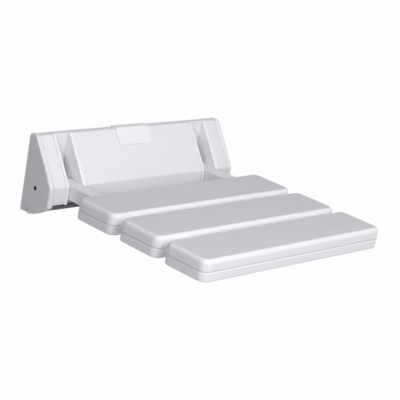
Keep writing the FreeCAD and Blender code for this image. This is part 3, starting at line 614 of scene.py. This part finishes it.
# The rib inside the seam that keeps both mouldings in line. It closes the seam's gap from within.
def makeSeamTongue(place, middle):
    half = slat["tongueHeight"] / 2
    bm = slatBlock(middle, slat["seam"] - half, slat["seam"] + half, slat["tongueInset"])
    for height, facing in ((slat["seam"] - half, -1), (slat["seam"] + half, 1)):
        bmesh.ops.delete(bm, geom=[flatFace(bm, 2, height, facing)], context="FACES_ONLY")
    notchForArms(bm, middle, place, slat["tongueInset"])
    finishPiece(bm, "slat%dTongue" % (place + 1), "seat", ["slatBand"],
                wall=slat["tongueWall"])


# A pan head with a cross in it, seated in its well and looking down
def makeScrewHead(x, y):
    seat = slat["bottom"] + screw["depth"]
    bm = bmesh.new()
    pushedDisc(bm, Matrix.Translation((x, y, seat)), screw["head"], screw["segments"],
               (0, 0, -screw["headHeight"]))
    shown = seat - screw["headHeight"]
    softenEdges(bm, edgesInPlane(bm, 2, shown), screw["rim"], segments=5)
    a, b = screw["slotLong"], screw["slotWide"]
    cross = [(a, b), (b, b), (b, a), (-b, a), (-b, b), (-a, b), (-a, -b), (-b, -b), (-b, -a), (b, -a),
             (b, -b), (a, -b)]
    points = [bm.verts.new((x + u, y + v, shown)) for u, v in cross]
    loop = [bm.edges.new((points[i - 1], point)) for i, point in enumerate(points)]
    openFace(bm, flatFace(bm, 2, shown, -1), [loop])
    deepen(bm, loop, (0, 0, screw["slotDeep"]))
    return bm


heads = []
for place, middle in enumerate(slat["middles"]):
    makeSlatTop(place, middle)
    heads += [makeScrewHead(*spot) for spot in makeSlatBase(place, middle)]
    makeSeamTongue(place, middle)
finishPiece(joined(heads), "slatScrews", "seat", ["zincSteel"])
print("slats made")

# CAD nodes that stay, each with its finish
carried = {
    "armCoat": ["wall_plate", "left_arm", "right_arm"],
    "blockCoat": ["hinge_blocks"],
    "zincSteel": ["ears", "pivot_bolts", "pivot_nuts", "disc_springs"],
    "padRubber": ["left_rest_pad", "right_rest_pad", "left_up_buffer", "right_up_buffer"],
    "bushNylon": ["bushes"],
    "plugBlackAndHoleShade": ["left_arm_plug", "right_arm_plug"],
}
for skin, names in carried.items():
    for name in names:
        if not nodes[name].material_slots:
            nodes[name].data.materials.append(None)
        for holder in nodes[name].material_slots:
            holder.material = finish[skin]
print("CAD nodes finished")

# Floor: pale, and near white to the camera and to mirrors, with the seat's shadow kept
floorLook = {"height": -0.46, "reach": 14.0, "paint": (0.80, 0.80, 0.81, 1.0),
             "bounce": (0.30, 0.30, 0.30, 1.0), "seenWhite": 0.985, "segments": 96}


def makeFloor():
    bm = bmesh.new()
    bmesh.ops.create_circle(bm, cap_ends=True, segments=floorLook["segments"], radius=floorLook["reach"],
                            matrix=Matrix.Translation((0, 0, floorLook["height"])))
    mesh = bpy.data.meshes.new("floor")
    bm.to_mesh(mesh)
    bm.free()
    floor = bpy.data.objects.new("floor", mesh)
    scene.collection.objects.link(floor)
    paint = bpy.data.materials.new("floorPaint")
    paint.use_nodes = True
    tree = paint.node_tree
    tree.nodes.clear()
    matt = put(tree, "BsdfDiffuse", {"Color": mixColour(tree, seenDirectly(tree), floorLook["bounce"],
                                                        floorLook["paint"])})
    white = put(tree, "Emission", {"Color": (1, 1, 1, 1), "Strength": 1.0})
    share = put(tree, "Math", {0: seenDirectly(tree), 1: floorLook["seenWhite"]}, operation="MULTIPLY")
    blend = put(tree, "MixShader", {0: share.outputs[0]})
    tree.links.new(matt.outputs[0], blend.inputs[1])
    tree.links.new(white.outputs[0], blend.inputs[2])
    put(tree, "OutputMaterial", {"Surface": blend.outputs[0]})
    mesh.materials.append(paint)


# 1 for camera, glossy and transmission rays
def seenDirectly(tree):
    ray = put(tree, "LightPath")
    first = put(tree, "Math", {0: ray.outputs["Is Camera Ray"], 1: ray.outputs["Is Glossy Ray"]},
                operation="MAXIMUM")
    return put(tree, "Math", {0: first.outputs[0], 1: ray.outputs["Is Transmission Ray"]},
               operation="MAXIMUM").outputs[0]


makeFloor()

# Studio light: world fill and large soft lamps
room = {"fill": (0.96, 0.97, 1.0, 1.0), "strength": 0.095}
lamps = {
    "keyMid": {"at": (-0.3, -1.5, 0.85), "aim": (0.0, -0.25, 0.0), "size": 0.5, "power": 8.2},
    "keyLow": {"at": (0.0, -1.5, 0.15), "aim": (0.0, -0.25, 0.0), "size": 0.8, "power": 1.6},
    "keyHigh": {"at": (0.2, -1.3, 1.4), "aim": (0.0, -0.25, 0.0), "size": 0.7, "power": 7.0},
    "keyRight": {"at": (0.9, -1.3, 0.7), "aim": (0.0, -0.25, 0.0), "size": 0.5, "power": 3.0},
    "topSoft": {"at": (0.05, -0.05, 0.7), "aim": (0.0, -0.12, 0.0), "size": 0.5, "power": 0.75},
    "keyLeft": {"at": (-1.3, -0.9, 0.35), "aim": (0.0, -0.3, 0.0), "size": 0.5, "power": 8.3},
}


def makeLight():
    world = bpy.data.worlds.new("studio")
    scene.world = world
    world.use_nodes = True
    tree = world.node_tree
    tree.nodes.clear()
    fill = put(tree, "Background", {"Color": room["fill"], "Strength": room["strength"]})
    white = put(tree, "Background", {"Color": (1, 1, 1, 1), "Strength": 1.0})
    blend = put(tree, "MixShader", {0: seenDirectly(tree)})
    tree.links.new(fill.outputs[0], blend.inputs[1])
    tree.links.new(white.outputs[0], blend.inputs[2])
    put(tree, "OutputWorld", {"Surface": blend.outputs[0]})
    for name, lamp in lamps.items():
        light = bpy.data.lights.new(name, "AREA")
        light.shape = "DISK"
        light.size = lamp["size"]
        light.energy = lamp["power"]
        holder = bpy.data.objects.new(name, light)
        scene.collection.objects.link(holder)
        holder.location = lamp["at"]
        holder.rotation_mode = "QUATERNION"
        holder.rotation_quaternion = (Vector(lamp["aim"]) - Vector(lamp["at"])).to_track_quat("-Z", "Y")


makeLight()
print("floor and lights made")

# Camera: fitted to the photograph. Its axes are the columns right, up and back.
lens = {"place": (-1.522693, -1.519956, 0.624926), "right": (0.69004335, -0.70344138, 0.17032438),
        "up": (0.10276141, 0.32816764, 0.93901336), "back": (-0.71643581, -0.63045715, 0.29873652),
        "length": 126.02, "shift": (-0.0004, 0.0097), "sensor": 36.0, "clip": (0.05, 60.0)}


def makeCamera():
    data = bpy.data.cameras.new("camera")
    data.sensor_width = lens["sensor"]
    data.lens = lens["length"]
    data.shift_x, data.shift_y = lens["shift"]
    data.clip_start, data.clip_end = lens["clip"]
    camera = bpy.data.objects.new("camera", data)
    scene.collection.objects.link(camera)
    axes = Matrix((lens["right"], lens["up"], lens["back"])).transposed()
    camera.matrix_world = Matrix.Translation(lens["place"]) @ axes.to_4x4()
    scene.camera = camera


makeCamera()
scene.view_settings.view_transform = "Standard"
